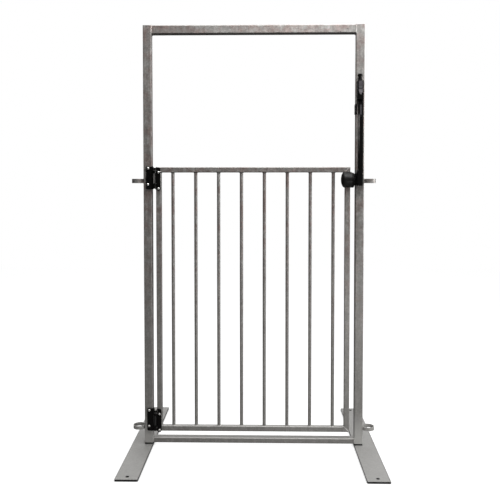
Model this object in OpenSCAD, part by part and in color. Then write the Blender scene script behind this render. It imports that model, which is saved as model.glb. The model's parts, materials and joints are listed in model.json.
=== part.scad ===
// Self-closing pool gate in a free-standing steel frame, all sizes in millimetres.
// The origin lies on the floor, midway between the feet's ends and between the posts.
// X runs from the hinge post to the latch post, -Y is the side that the leaf opens to.

/* [Frame] */
// Clear width between the two posts
clear_w = 970; // [800:5:1200]
// Height of each post
post_h = 2000; // [1700:10:2400]
// Side of the square tube that makes the posts and the top bar
post_side = 40; // [35:1:50]
// Wall of that tube
post_wall = 2; // [1.5:0.25:3]
// Outer corner radius of that tube
post_corner = 4; // [3.5:0.5:6]
// Height of the threshold bar between the posts
sill_h = 25; // [20:1:40]
// Thickness of the plate that closes each post's top
cap_t = 3; // [2:0.5:6]
// Diameter of the two vent holes in the top bar's front
vent_d = 5; // [4:0.5:8]
// Distance from the latch post to the first vent hole
vent_inset = 41; // [15:1:150]
// Distance between the two vent holes
vent_pitch = 35; // [12:1:150]

/* [Feet] */
// Length of each foot, front to back
foot_l = 900; // [700:10:1100]
// Width of each foot
foot_w = 100; // [80:1:130]
// Thickness of each foot
foot_t = 8; // [6:1:12]
// Radius of a foot's corners
foot_corner = 5; // [2:1:12]
// Reach of a foot in front of the posts' centres
foot_front = 400; // [300:10:450]
// Diameter of the peg hole near each end of a foot
peg_d = 14; // [10:1:20]
// Distance from the end of a foot to the centre of its peg hole
peg_inset = 30; // [25:1:50]
// Height of the collar that carries each post above its foot
collar_h = 7.5; // [4:0.5:12]
// Height of the spigot above its foot
spigot_h = 90; // [50:5:150]
// Wall of the spigot tube
spigot_wall = 3; // [2:0.5:5]
// Gap between a spigot and the post round it, on each side
spigot_fit = 1; // [0.5:0.25:2]

/* [Coupling rings] */
// Outer diameter of a coupling ring
ring_od = 58; // [45:1:60]
// Wall of a coupling ring
ring_wall = 3.5; // [3:0.5:6]
// Height of a lower ring
ring_low_h = 16; // [12:1:40]
// Height of an upper ring
ring_high_h = 20; // [12:1:40]
// Height of the lower rings' centres above the floor
ring_low_z = 89; // [60:1:200]
// Height of the upper rings' centres above the floor
ring_high_z = 1279; // [900:1:1500]
// Width of the weld pad between a ring and its post
ring_pad_w = 16; // [10:1:24]

/* [Leaf] */
// Height of the leaf
leaf_h = 1272; // [1000:1:1500]
// Height of the leaf's underside above the posts' lower ends
leaf_lift = 57; // [40:1:90]
// Side of the square tube that frames the leaf
leaf_side = 25; // [20:1:35]
// Wall of that tube
leaf_wall = 1.5; // [1.25:0.25:2.5]
// Outer corner radius of that tube
leaf_corner = 3; // [2.75:0.25:4]
// Gap between the hinge post and the leaf
hinge_gap = 20; // [18:1:30]
// Gap between the leaf and the latch post
latch_gap = 25; // [22:1:35]
// Number of upright pales
pale_count = 8; // [6:1:10]
// Outer diameter of a pale
pale_d = 16; // [12:1:20]
// Wall of a pale
pale_wall = 1.2; // [1:0.1:2]

/* [Hinges] */
// Height of the lower hinge's leaf plate above the leaf's underside
hinge_low = 0; // [0:0.5:200]
// Distance from the leaf's top down to the head of the upper hinge's leaf plate
hinge_high = 1.5; // [0:0.5:200]
// Height of one hinge plate
plate_h = 107; // [90:1:140]
// Distance that the post's plate sits above the leaf's plate
plate_stagger = 3; // [0:0.5:8]
// Height of the barrel
barrel_h = 98; // [80:1:120]
// Thickness of a hinge plate
plate_t = 7; // [5:0.5:9]
// Radius of a hinge plate's corners
plate_corner = 8; // [3:0.5:9]
// Distance of the barrel's axis from the hinge post's inner face
axis_in = 14; // [10.5:0.5:16]
// Distance of the barrel's axis in front of the posts and the leaf
axis_reach = 10; // [8.5:0.5:14]
// Outer radius of the barrel
barrel_r = 8; // [6:0.5:8]
// Width of the flat on the front of the barrel's middle knuckle
flat_w = 8; // [4:0.5:9]
// Radius of the hinge pin
pin_r = 4; // [2.5:0.5:5]
// Running gap round the pin and between the knuckles
pin_fit = 0.3; // [0.2:0.1:0.5]
// Distance from the hinge post's inner face to the hinge screws on it
post_screw_in = 17; // [15:0.5:20]
// Distance between the two screws of one hinge plate
screw_pitch = 77; // [60:1:80]
// Distance of the outermost screws from the ends of their plates
screw_in = 7; // [5:0.5:10]
// Diameter of a screw hole
screw_d = 5.5; // [4:0.5:6]
// Diameter of the seat that sinks a screw's head
seat_d = 11.5; // [9:0.5:13]
// Diameter of the boss round each screw
boss_d = 20; // [16:0.5:21]

/* [Latch] */
// Distance from the leaf's top down to the latch's underside
latch_drop = 88.5; // [80:0.5:150]
// Width of the latch body that faces the striker
base_w = 31; // [26:0.5:38]
// Height of that latch body
base_h = 78; // [60:1:90]
// Depth of that latch body
base_d = 36; // [30:1:45]
// Height of the shoulder that narrows the latch body to the riser
shoulder_h = 18; // [8:1:25]
// Width of the riser between the latch body and the head
riser_w = 22; // [20:1:25]
// Height of the riser
riser_h = 325; // [150:1:400]
// Depth of the riser
riser_d = 28; // [24:1:34]
// Height of the side plate beside the riser
side_plate_h = 49; // [40:1:70]
// Distance from the head's foot down to the side plate's foot
side_plate_drop = 65.5; // [50:0.5:200]
// Thickness of the side plate and of the latch body's side flange
flange_t = 3; // [2:0.5:4]
// Width of the lip that the side plate turns over onto the post's front
lip_w = 4; // [2:0.5:6]
// Width of the head
head_w = 29; // [27:1:38]
// Height of the head
head_h = 87; // [80:1:120]
// Depth of the head
head_d = 38; // [34:1:45]
// Diameter of the lift knob
knob_d = 23; // [18:0.5:26]
// Height of the lift knob
knob_h = 31; // [18:1:35]
// Gap between the lift knob and the head when it is down
knob_gap = 2; // [1:0.5:3]
// Distance from the head's middle to the knob's axis
knob_offset = 1.5; // [0:0.5:4]
// Diameter of the lift knob's stem
stem_d = 9; // [6:1:12]
// Length of the stem below the knob
stem_l = 50; // [30:1:60]
// Running gap round the stem
stem_fit = 0.4; // [0.3:0.1:0.8]
// Width of the tongue-shaped recess in the head's front
tongue_w = 20; // [16:1:22]
// Height of that recess
tongue_h = 66; // [50:1:75]
// Height of its pointed foot
point_h = 26; // [12:1:35]
// Depth of that recess
tongue_d = 8; // [4:0.5:9]
// Diameter of the key cylinder
key_d = 13; // [10:1:14]
// Depth that the key cylinder is let into the floor of the recess
key_seat = 4; // [2:0.5:6]
// Distance from the head's top down to the key cylinder
key_drop = 30; // [20:1:35]

/* [Striker] */
// Height of the striker on the leaf, which is also the diameter of its drum
striker_h = 75; // [56:1:78]
// Length of the drum, its domed end included
drum_l = 49; // [40:1:52]
// Length of the domed end
dome_l = 17; // [8:1:20]
// Length of the nose that reaches toward the latch body
nose_l = 12.5; // [8:0.5:18]
// Step from the top of the drum down to the top of the nose
nose_step = 4; // [1:0.5:8]
// Distance that the drum hangs below the latch body
drum_drop = 9; // [0:0.5:15]
// Gap between the striker and the latch's side flange
strike_gap = 5.5; // [5:0.5:8]

/* [Hidden] */

$fn = 48;
eps = 1;  // length that a cutting shape runs past the face it cuts

// Galvanised steel, and black moulded polymer
steel = [0.55, 0.55, 0.54];
bright = [0.78, 0.78, 0.78];
black = [0.09, 0.09, 0.09];
grey = [0.35, 0.35, 0.36];

// Frame
post_x = (clear_w + post_side) / 2;
post_y = foot_front - foot_l / 2;
face_y = post_y - post_side / 2;
post_z = foot_t + collar_h;
post_top = post_z + post_h;
inner_side = post_side - 2 * post_wall;

// Leaf
leaf_x0 = -clear_w / 2 + hinge_gap;
leaf_x1 = clear_w / 2 - latch_gap;
leaf_w = leaf_x1 - leaf_x0;
leaf_y = face_y + leaf_side / 2;
leaf_z = post_z + leaf_lift;
leaf_top = leaf_z + leaf_h;
pale_pitch = (leaf_w - 2 * leaf_side) / pale_count;

// Hinges, with x and z of their parts taken from the barrel's axis and the leaf plate's foot
axis_x = -clear_w / 2 + axis_in;
axis_y = face_y - axis_reach;
hinge_zs = [leaf_z + hinge_low, leaf_top - hinge_high - plate_h];
post_screw_x = -axis_in - post_screw_in;
leaf_screw_x = leaf_x0 + leaf_side / 2 - axis_x;
plate_clear = 1.5;
plate_gap = barrel_r + plate_clear;
boss_lobe = 1;
barrel_low = (plate_h + plate_stagger - barrel_h) / 2;
barrel_high = barrel_low + barrel_h;
knuckle_h = 24;
knuckle_low = barrel_low + knuckle_h;
knuckle_high = barrel_high - knuckle_h;

// Latch and striker
latch_z = leaf_top - latch_drop;
riser_z = latch_z + base_h;
head_z = riser_z + riser_h;
head_top = head_z + head_h;
latch_x1 = clear_w / 2 + base_w;
base_x = latch_x1 - base_w / 2;
riser_x = latch_x1 - riser_w / 2;
head_x = latch_x1 - head_w / 2;
lock_y = face_y - head_d + tongue_d;
key_z = head_top - key_drop;
lock_clear = 1;
knob_x = head_x - knob_offset;
knob_y = max(face_y - head_d / 2, lock_y + key_seat + stem_d / 2 + lock_clear);
flange_x = clear_w / 2 - flange_t;
striker_x1 = flange_x - strike_gap;
drum_x0 = striker_x1 - nose_l - drum_l;
striker_z = latch_z + striker_h / 2 - drum_drop;

// ---- Shapes that several pieces share ----

// Rectangle from the origin with all corners rounded
module rounded_rect(w, h, r) {
    translate([r, 0]) square([w - 2 * r, h]);
    translate([0, r]) square([w, h - 2 * r]);
    for (x = [r, w - r], y = [r, h - r]) translate([x, y]) circle(r);
}

// Square tube standing on the origin, centred on Z
module square_tube(side, wall, corner, length) {
    linear_extrude(length) difference() {
        translate([-side / 2, -side / 2]) rounded_rect(side, side, corner);
        translate([wall - side / 2, wall - side / 2])
            rounded_rect(side - 2 * wall, side - 2 * wall, corner - wall);
    }
}

// Ring or round tube standing on the origin
module round_tube(d, wall, length) {
    difference() {
        cylinder(d = d, h = length);
        translate([0, 0, -eps]) cylinder(d = d - 2 * wall, h = length + 2 * eps);
    }
}

// Points along an arc from angle a0 to a1, as [across, along]
function arc(r, a0, a1, steps = 6) =
    [for (i = [0:steps]) let (a = a0 + (a1 - a0) * i / steps) [r * cos(a), r * sin(a)]];

// Moves a list of points by [dx, dy]
function shift(points, by) = [for (p = points) p + by];

// Puts a piece made for the latch side (+X) on the left or the right
module on_side(side) {
    if (side < 0) mirror([1, 0, 0]) children();
    else children();
}

// ---- Frame ----

module foot(side) {
    color(steel) on_side(side) translate([clear_w / 2, -foot_l / 2, 0]) difference() {
        linear_extrude(foot_t) rounded_rect(foot_w, foot_l, foot_corner);
        for (y = [peg_inset, foot_l - peg_inset])
            translate([foot_w / 2, y, -eps]) cylinder(d = peg_d, h = foot_t + 2 * eps);
    }
}

// Tube that stands in the post's lower end, with the collar that the post rests on
module spigot(side) {
    spigot_side = inner_side - 2 * spigot_fit;
    collar_side = post_side - post_wall;
    color(steel) translate([side * post_x, post_y, foot_t]) difference() {
        union() {
            translate([-spigot_side / 2, -spigot_side / 2, 0])
                cube([spigot_side, spigot_side, spigot_h]);
            translate([-collar_side / 2, -collar_side / 2, 0])
                cube([collar_side, collar_side, collar_h]);
        }
        bore = spigot_side - 2 * spigot_wall;
        translate([-bore / 2, -bore / 2, -eps]) cube([bore, bore, spigot_h + 2 * eps]);
    }
}

module post(side) {
    color(steel) translate([side * post_x, post_y, post_z])
        square_tube(post_side, post_wall, post_corner, post_h);
}

module post_cap(side) {
    color(steel) translate([side * post_x - inner_side / 2, post_y - inner_side / 2, post_top - cap_t])
        linear_extrude(cap_t) rounded_rect(inner_side, inner_side, post_corner - post_wall);
}

module top_bar() {
    vent_low = post_corner + vent_d / 2;
    color(steel) difference() {
        translate([-clear_w / 2, post_y, post_top - post_side / 2]) rotate([0, 90, 0])
            square_tube(post_side, post_wall, post_corner, clear_w);
        for (hole = [[0, post_side / 2], [vent_pitch, vent_low]])
            translate([clear_w / 2 - vent_inset - hole[0], face_y - eps, post_top - post_side + hole[1]])
                rotate([-90, 0, 0]) cylinder(d = vent_d, h = post_wall + 2 * eps);
    }
}

module threshold_bar() {
    color(steel) translate([-clear_w / 2, post_y, post_z + sill_h / 2]) rotate([0, 90, 0])
        linear_extrude(clear_w) difference() {
            translate([-sill_h / 2, -post_side / 2]) rounded_rect(sill_h, post_side, post_corner);
            translate([post_wall - sill_h / 2, post_wall - post_side / 2])
                rounded_rect(sill_h - 2 * post_wall, inner_side, post_corner - post_wall);
        }
}

// Ring on a post's outer face, which links the gate to the next fence panel
module coupling_ring(side, z, height) {
    ring_x = post_x + post_side / 2 + ring_od / 2;
    pad_reach = ring_od / 2 - sqrt(pow(ring_od / 2, 2) - pow(ring_pad_w / 2, 2)) + ring_wall / 2;
    color(steel) on_side(side) translate([ring_x, post_y, z - height / 2]) difference() {
        union() {
            cylinder(d = ring_od, h = height);
            translate([-ring_od / 2, -ring_pad_w / 2, 0]) cube([pad_reach, ring_pad_w, height]);
        }
        translate([0, 0, -eps]) cylinder(d = ring_od - 2 * ring_wall, h = height + 2 * eps);
    }
}

// ---- Leaf ----

// One side of the mitred leaf frame, standing on the origin with its outer face at x = 0
module mitred_tube(length) {
    intersection() {
        translate([leaf_side / 2, 0, 0]) square_tube(leaf_side, leaf_wall, leaf_corner, length);
        rotate([90, 0, 0]) translate([0, 0, -leaf_side]) linear_extrude(2 * leaf_side)
            polygon([[0, 0], [0, length], [leaf_side, length - leaf_side], [leaf_side, leaf_side]]);
    }
}

module hinge_stile() {
    color(steel) translate([leaf_x0, leaf_y, leaf_z]) mitred_tube(leaf_h);
}

module latch_stile() {
    color(steel) translate([leaf_x1, leaf_y, leaf_z]) mirror([1, 0, 0]) mitred_tube(leaf_h);
}

module leaf_bottom_rail() {
    color(steel) translate([leaf_x0, leaf_y, leaf_z]) mirror([1, 0, -1]) mitred_tube(leaf_w);
}

module leaf_top_rail() {
    color(steel) translate([leaf_x0, leaf_y, leaf_top])
        mirror([0, 0, 1]) mirror([1, 0, -1]) mitred_tube(leaf_w);
}

module pale(i) {
    middle = (leaf_x0 + leaf_x1) / 2;
    color(steel) translate([middle + (i - (pale_count + 1) / 2) * pale_pitch, leaf_y, leaf_z + leaf_side])
        round_tube(pale_d, pale_wall, leaf_h - 2 * leaf_side);
}

// ---- Hinges: x and y from the barrel's axis, z from the foot of the leaf's plate ----

// Extrudes an outline drawn in x and z from y = front to y = back
module slab(front, back) {
    translate([0, back, 0]) rotate([90, 0, 0]) linear_extrude(back - front) children();
}

// Flat plate against the steel from x0 to x1, with a raised field and a boss round each screw
module hinge_plate(x0, x1, z0, screw_x, screw_zs) {
    front = axis_reach - plate_t;
    raised = 1;
    seat_deep = 1.5;
    field_edge = 3;
    field_z = screw_zs[0] + boss_d / 2 + field_edge;
    corner = min(plate_corner, (x1 - x0) / 2 - 0.5);
    difference() {
        union() {
            slab(front, axis_reach) translate([x0, z0]) rounded_rect(x1 - x0, plate_h, corner);
            slab(front - raised, front) translate([x0 + field_edge, field_z])
                rounded_rect(x1 - x0 - 2 * field_edge, screw_pitch - boss_d - 2 * field_edge, field_edge);
            slab(front - raised, axis_reach) for (z = screw_zs) intersection() {
                translate([screw_x, z]) circle(d = boss_d);
                translate([x0 - boss_lobe, z0 - boss_d])
                    square([x1 - x0 + 2 * boss_lobe, plate_h + 2 * boss_d]);
            }
        }
        for (z = screw_zs) {
            slab(front - raised - eps, axis_reach + eps) translate([screw_x, z]) circle(d = screw_d);
            slab(front - raised - eps, front - raised + seat_deep)
                translate([screw_x, z]) circle(d = seat_d);
        }
    }
}

// Thin ear on a plate's end, with a peak beside the barrel and a slope down to the barrel's end
module ear(away, plate_z, peak, barrel_z) {
    ear_t = 3.5;
    root = away * (plate_gap + plate_corner);
    slab(axis_reach - ear_t, axis_reach)
        polygon([[root, plate_z], [away * plate_gap, plate_z + peak], [away, barrel_z], [root, barrel_z]]);
}

// Part of the barrel from z0 to z1 with the web that joins it to its plate at x = reach
module knuckle(z0, z1, reach) {
    difference() {
        union() {
            translate([0, 0, z0]) cylinder(r = barrel_r, h = z1 - z0);
            translate([min(0, reach), axis_reach - plate_t, z0])
                cube([abs(reach), barrel_r - axis_reach + plate_t - pin_fit, z1 - z0]);
        }
        translate([0, 0, z0 - eps]) cylinder(r = pin_r + pin_fit, h = z1 - z0 + 2 * eps);
    }
}

// Groove round the barrel, which leaves the web whole
module barrel_groove(z, height, depth) {
    translate([0, 0, z]) difference() {
        translate([-barrel_r - eps, -barrel_r - eps, 0])
            cube([2 * (barrel_r + eps), barrel_r + eps + axis_reach - plate_t, height]);
        translate([0, 0, -eps]) cylinder(r = barrel_r - depth, h = height + 2 * eps);
    }
}

// The post's plate carries the lowest knuckle and the top one, which holds the spring's adjuster
module hinge_post_plate(z) {
    screw_z = plate_stagger + plate_h - screw_in;
    groove_z = knuckle_high + 7;
    groove_h = 1.5;
    groove_deep = 1;
    dial_h = 8;
    notches = 10;
    color(black) translate([axis_x, axis_y, z]) {
        hinge_plate(post_screw_x - boss_d / 2 + boss_lobe, -plate_gap, plate_stagger, post_screw_x,
                    [screw_z - screw_pitch, screw_z]);
        ear(-1, plate_stagger, -1, barrel_low);
        ear(-1, plate_stagger + plate_h, 3, barrel_high);
        knuckle(barrel_low, knuckle_low - pin_fit, -plate_gap);
        difference() {
            knuckle(knuckle_high + pin_fit, barrel_high, -plate_gap);
            for (z = [groove_z, groove_z + dial_h]) barrel_groove(z, groove_h, groove_deep);
            for (i = [0:notches - 1]) rotate(180 + 180 * (i + 0.5) / notches)
                translate([barrel_r, 0, groove_z + groove_h / 2]) cylinder(r = 0.8, h = dial_h);
        }
    }
}

// The leaf's plate carries the long middle knuckle, which is flat in front
module hinge_leaf_plate(z) {
    flat_y = sqrt(pow(barrel_r, 2) - pow(flat_w / 2, 2));
    color(black) translate([axis_x, axis_y, z]) {
        hinge_plate(plate_gap, leaf_screw_x + boss_d / 2 - boss_lobe, 0, leaf_screw_x,
                    [screw_in, screw_in + screw_pitch]);
        ear(1, 0, -1, barrel_low - pin_fit);
        ear(1, plate_h, 2, barrel_high + pin_fit);
        difference() {
            knuckle(knuckle_low, knuckle_high, plate_gap);
            translate([-flat_w, -flat_y - barrel_r, knuckle_low - eps])
                cube([2 * flat_w, barrel_r, knuckle_high - knuckle_low + 2 * eps]);
        }
    }
}

// Pin with a slotted head on top
module hinge_pin(z) {
    head_t = 3;
    slot_w = 1.6;
    color(bright) translate([axis_x, axis_y, z]) difference() {
        union() {
            translate([0, 0, barrel_low]) cylinder(r = pin_r, h = barrel_high - barrel_low);
            translate([0, 0, barrel_high]) cylinder(r = pin_r + 1, h = head_t);
        }
        translate([-pin_r - 2, -slot_w / 2, barrel_high + head_t / 2])
            cube([2 * pin_r + 4, slot_w, head_t]);
    }
}

// ---- Latch ----

// Moulded housing on the post's front face, its front edges rounded
module housing(w, d, h, r) {
    linear_extrude(h) {
        translate([-w / 2, -d + r]) square([w, d - r]);
        translate([r - w / 2, -d]) square([w - 2 * r, r]);
        for (x = [r - w / 2, w / 2 - r]) translate([x, r - d]) circle(r);
    }
}

// Lowest housing of the latch, with a side flange on the post's inner face
module latch_body() {
    edge_r = 7;
    chamfer = 3;
    notch_z = 51;
    notch_h = 8;
    notch_deep = 4;
    field_z = 10;
    field_w = base_w - 2 * edge_r;
    field_h = base_h - shoulder_h - field_z - 6;
    color(black) translate([base_x, face_y, latch_z]) {
        difference() {
            intersection() {
                housing(base_w, base_d, base_h, edge_r);
                translate([-base_w / 2, 0, 0]) rotate([90, 0, 0]) linear_extrude(base_d + eps)
                    polygon([[chamfer, 0], [base_w - chamfer, 0], [base_w, chamfer], [base_w, base_h],
                             [base_w - riser_w, base_h], [0, base_h - shoulder_h], [0, chamfer]]);
            }
            translate([base_w / 2 - notch_deep, -base_d - eps, notch_z])
                cube([notch_deep + eps, base_d - 8, notch_h]);
        }
        slab(-base_d - 1, -base_d) translate([-field_w / 2, field_z]) rounded_rect(field_w, field_h, 3);
    }
    color(black) translate([flange_x, face_y - edge_r, latch_z + chamfer])
        cube([flange_t, post_side + edge_r - post_corner, base_h - shoulder_h - 2 * chamfer]);
}

// Tube of the riser, with two long grooves, a shallow strip recess and a screw hole in its front
module latch_riser() {
    groove_w = 1.2;
    groove_x = 6.5;
    strip_w = 9;
    strip_h = 48;
    strip_x = -1.5;
    strip_z = riser_h - strip_h - 23.5;
    hole_deep = 4;
    color(black) translate([riser_x, face_y, riser_z]) difference() {
        housing(riser_w, riser_d, riser_h, 5);
        for (x = [-groove_x, groove_x]) translate([x - groove_w / 2, -riser_d - eps, -eps])
            cube([groove_w, 1 + eps, riser_h + 2 * eps]);
        translate([strip_x - strip_w / 2, -riser_d - eps, strip_z]) cube([strip_w, 1 + eps, strip_h]);
        translate([strip_x, hole_deep - riser_d, strip_z - screw_d]) rotate([90, 0, 0])
            cylinder(d = screw_d, h = hole_deep + eps);
    }
}

// Waisted plate on the post's inner face, with a lip that hooks over the post's front edge
module riser_bracket() {
    corner = 10;
    waist = 2.5;
    waist_r = 40;
    plate_w = post_side - corner / 2;
    color(black) translate([flange_x, face_y, head_z - side_plate_drop]) {
        rotate([90, 0, 90]) linear_extrude(flange_t) difference() {
            union() {
                rounded_rect(plate_w, side_plate_h, corner);
                square([corner, side_plate_h]);
            }
            translate([plate_w - waist + waist_r, side_plate_h / 2]) circle(waist_r);
            for (z = [corner, side_plate_h - corner]) translate([plate_w / 2, z]) circle(d = screw_d);
        }
        translate([0, -flange_t, 0]) cube([flange_t + lip_w, flange_t, side_plate_h]);
    }
}

// Tongue outline from its foot up: parallel sides, and a foot pointed by two arcs
module tongue(w, h, point) {
    side_r = (pow(point, 2) + pow(w / 2, 2)) / w;
    translate([-w / 2, point]) square([w, h - point]);
    intersection() {
        translate([side_r - w / 2, point]) circle(side_r);
        translate([w / 2 - side_r, point]) circle(side_r);
        translate([-w / 2, 0]) square([w, point]);
    }
}

// Highest housing, bored for the knob's stem and recessed for the lock
module latch_head() {
    collar_t = 1;
    color(black) difference() {
        union() {
            translate([head_x, face_y, head_z]) housing(head_w, head_d, head_h, 6);
            translate([knob_x, knob_y, head_top]) cylinder(d = knob_d - 2, h = collar_t);
        }
        translate([knob_x, knob_y, head_top - stem_l])
            cylinder(d = stem_d + 2 * stem_fit, h = stem_l + collar_t + eps);
        translate([head_x, lock_y, head_top - tongue_h]) rotate([90, 0, 0])
            linear_extrude(tongue_d + eps) tongue(tongue_w, tongue_h + 2 * eps, point_h);
        translate([head_x, lock_y + key_seat, key_z]) rotate([90, 0, 0])
            cylinder(d = key_d, h = key_seat + eps);
    }
}

// Lighter lining of the recess, which slopes out to the head's front at its pointed foot
module head_panel() {
    seam = 0.2;
    panel_t = 1.5;
    color(grey) translate([head_x, lock_y, head_top - tongue_h]) difference() {
        intersection() {
            rotate([90, 0, 0]) linear_extrude(tongue_d)
                tongue(tongue_w - 2 * seam, tongue_h, point_h - seam);
            translate([-tongue_w / 2, 0, 0]) rotate([90, 0, 90]) linear_extrude(tongue_w)
                polygon([[0, 0], [-tongue_d, 0], [-panel_t, point_h], [-panel_t, tongue_h], [0, tongue_h]]);
        }
        translate([0, eps, tongue_h - key_drop]) rotate([90, 0, 0]) cylinder(d = key_d, h = tongue_d);
    }
}

module key_cylinder() {
    proud = 4;
    slot_w = 2;
    slot_h = 8;
    slot_deep = 2;
    length = key_seat + proud;
    color(bright) translate([head_x, lock_y + key_seat, key_z]) rotate([90, 0, 0]) difference() {
        cylinder(d = key_d - 0.4, h = length);
        translate([-slot_w / 2, -slot_h / 2, length - slot_deep]) cube([slot_w, slot_h, slot_deep + eps]);
    }
}

// Waisted pull knob with a gripping rim, on its stem
module lift_knob() {
    rim_h = 9.5;
    rim_round = 2;
    rim_r = knob_d / 2;
    skirt_r = rim_r - 1.5;
    waist_r = rim_r - 2.5;
    grips = 12;
    profile = concat(
        [[0, 0], [skirt_r - 1, 0], [skirt_r, 1], [skirt_r, 3], [waist_r, 7], [waist_r, knob_h - rim_h - 2],
         [rim_r, knob_h - rim_h]],
        shift(arc(rim_round, 0, 90), [rim_r - rim_round, knob_h - rim_round]),
        [[0, knob_h]]);
    color(black) translate([knob_x, knob_y, head_top + knob_gap]) {
        difference() {
            rotate_extrude() polygon(profile);
            for (i = [0:grips - 1]) rotate(360 * i / grips)
                translate([rim_r + 0.6, 0, knob_h - rim_h]) cylinder(r = 1.4, h = rim_h + eps);
        }
        translate([0, 0, -stem_l]) cylinder(d = stem_d, h = stem_l);
    }
}

// ---- Striker on the leaf ----

// Front half of a solid turned about an axis at height z, from an outline of [radius, x]
module half_turned(x0, z, points, length) {
    r = max([for (p = points) p[0]]) + eps;
    difference() {
        translate([x0, face_y, z]) rotate([0, 90, 0]) rotate_extrude() polygon(points);
        translate([x0 - eps, face_y, z - r]) cube([length + 2 * eps, r, 2 * r]);
    }
}

// Drum that lies across the latch stile, with a domed end toward the pales
module striker_drum() {
    r = striker_h / 2;
    steps = 8;
    dome = [for (i = [0:steps]) [r * sin(90 * i / steps), dome_l * (1 - cos(90 * i / steps))]];
    color(black) half_turned(drum_x0, striker_z, concat(dome, [[r, drum_l], [0, drum_l]]), drum_l);
}

// Lower end of the striker, which stands in the gap beside the latch body
module striker_nose() {
    r = (striker_h - nose_step) / 2;
    round_r = 5;
    end = shift(arc(round_r, 90, 0), [r - round_r, nose_l - round_r]);
    color(black) half_turned(drum_x0 + drum_l, striker_z - nose_step / 2,
                             concat([[0, 0], [0, nose_l]], end, [[r, 0]]), nose_l);
}

foot(-1);  // left_foot
foot(1);  // right_foot
spigot(-1);  // left_spigot
spigot(1);  // right_spigot
post(-1);  // left_post
post(1);  // right_post
post_cap(-1);  // left_post_cap
post_cap(1);  // right_post_cap
top_bar();
threshold_bar();
coupling_ring(-1, ring_high_z, ring_high_h);  // upper_left_ring
coupling_ring(1, ring_high_z, ring_high_h);  // upper_right_ring
coupling_ring(-1, ring_low_z, ring_low_h);  // lower_left_ring
coupling_ring(1, ring_low_z, ring_low_h);  // lower_right_ring
hinge_stile();
latch_stile();
leaf_top_rail();
leaf_bottom_rail();
for (i = [1:pale_count]) pale(i);
hinge_post_plate(hinge_zs[1]);  // upper_hinge_post_plate
hinge_leaf_plate(hinge_zs[1]);  // upper_hinge_leaf_plate
hinge_pin(hinge_zs[1]);  // upper_hinge_pin
hinge_post_plate(hinge_zs[0]);  // lower_hinge_post_plate
hinge_leaf_plate(hinge_zs[0]);  // lower_hinge_leaf_plate
hinge_pin(hinge_zs[0]);  // lower_hinge_pin
latch_body();
latch_riser();
riser_bracket();
latch_head();
head_panel();
key_cylinder();
lift_knob();
striker_drum();
striker_nose();
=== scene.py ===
import json
import math
import bpy
import bmesh
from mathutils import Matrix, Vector


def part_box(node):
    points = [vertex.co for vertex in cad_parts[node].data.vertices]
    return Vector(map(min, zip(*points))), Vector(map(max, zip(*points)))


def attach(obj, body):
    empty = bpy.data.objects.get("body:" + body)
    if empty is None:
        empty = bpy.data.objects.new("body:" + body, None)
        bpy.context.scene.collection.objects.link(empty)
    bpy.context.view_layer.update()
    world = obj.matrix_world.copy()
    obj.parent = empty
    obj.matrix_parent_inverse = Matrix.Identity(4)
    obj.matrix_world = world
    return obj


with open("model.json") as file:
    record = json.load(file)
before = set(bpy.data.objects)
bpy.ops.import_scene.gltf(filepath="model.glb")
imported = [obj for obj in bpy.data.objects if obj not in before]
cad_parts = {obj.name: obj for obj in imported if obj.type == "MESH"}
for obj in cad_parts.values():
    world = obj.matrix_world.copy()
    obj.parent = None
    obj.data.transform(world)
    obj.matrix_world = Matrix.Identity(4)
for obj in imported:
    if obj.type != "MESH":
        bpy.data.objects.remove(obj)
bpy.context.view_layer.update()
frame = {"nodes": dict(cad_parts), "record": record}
print("frame loaded:", len(frame["nodes"]), "pieces")

mm = 0.001


def linear(hexColour):
    # sRGB hex to the linear values that sockets take
    channels = [int(hexColour[i:i + 2], 16) / 255 for i in (1, 3, 5)]
    return tuple(c / 12.92 if c <= 0.04045 else ((c + 0.055) / 1.055) ** 2.4 for c in channels) + (1,)


def addNode(tree, kind, inputs=None, **settings):
    # one node with its settings, and its inputs as values or as links from other sockets
    node = tree.nodes.new(kind)
    for name, value in settings.items():
        setattr(node, name, value)
    for name, value in (inputs or {}).items():
        if isinstance(value, bpy.types.NodeSocket):
            tree.links.new(value, node.inputs[name])
        else:
            node.inputs[name].default_value = value
    return node


def newMaterial(name):
    material = bpy.data.materials.new(name)
    material.use_nodes = True
    material.node_tree.nodes.clear()
    return material, material.node_tree


def newObject(name, data):
    thing = bpy.data.objects.new(name, data)
    bpy.context.scene.collection.objects.link(thing)
    return thing


# Camera and studio

cameraLook = {
    "place": (0.0406, -3.0714, 1.2298),
    "tilt": 1.885,  # degrees down
    "turn": 1.083,  # degrees toward the hinge post
    "lens": 45.39,
    "shift": -0.076,
}
cameraData = bpy.data.cameras.new("camera")
cameraData.lens = cameraLook["lens"]
cameraData.shift_y = cameraLook["shift"]
camera = newObject("camera", cameraData)
camera.location = cameraLook["place"]
camera.rotation_euler = (math.radians(90 - cameraLook["tilt"]), 0, math.radians(cameraLook["turn"]))
bpy.context.scene.camera = camera
bpy.context.scene.view_settings.view_transform = "Standard"

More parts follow.
